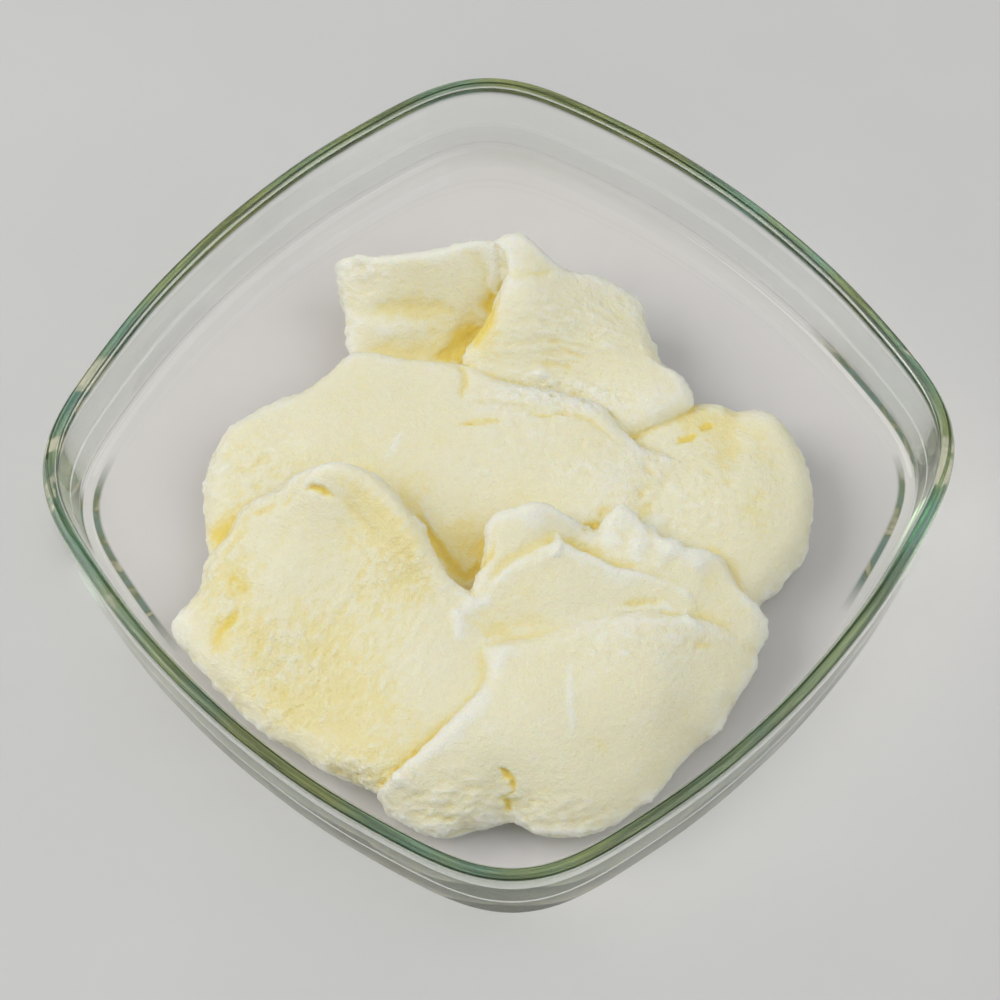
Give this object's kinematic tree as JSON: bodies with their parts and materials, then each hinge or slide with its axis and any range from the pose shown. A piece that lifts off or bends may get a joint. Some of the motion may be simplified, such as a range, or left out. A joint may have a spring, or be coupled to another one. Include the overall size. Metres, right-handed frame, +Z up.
{
  "type": "bowl of greek yogurt",
  "caption": "Shallow rounded-square clear glass dish holding thick spoonfuls of strained greek yogurt, laid over each other with folds, ridges and a deep notch.",
  "frame": {"origin": "centre of the underside of the dish, which is also the bottom centre of the whole", "axes": "+Z up. The sides of the dish face X and Y, so its corners point along the two diagonals. The picture looks from the corner between +X and -Y, so that the corner between -X and +Y is at its back."},
  "size_m": [0.16, 0.16, 0.0264],
  "materials": {
    "glass": "clear pressed glass with a green tint at its edges",
    "yogurt": "moist, softly shining cream white, finely grained"
  },
  "bodies": {
    "root": {"glass_bowl": "glass", "yogurt": "yogurt"}
  },
  "joints": []
}
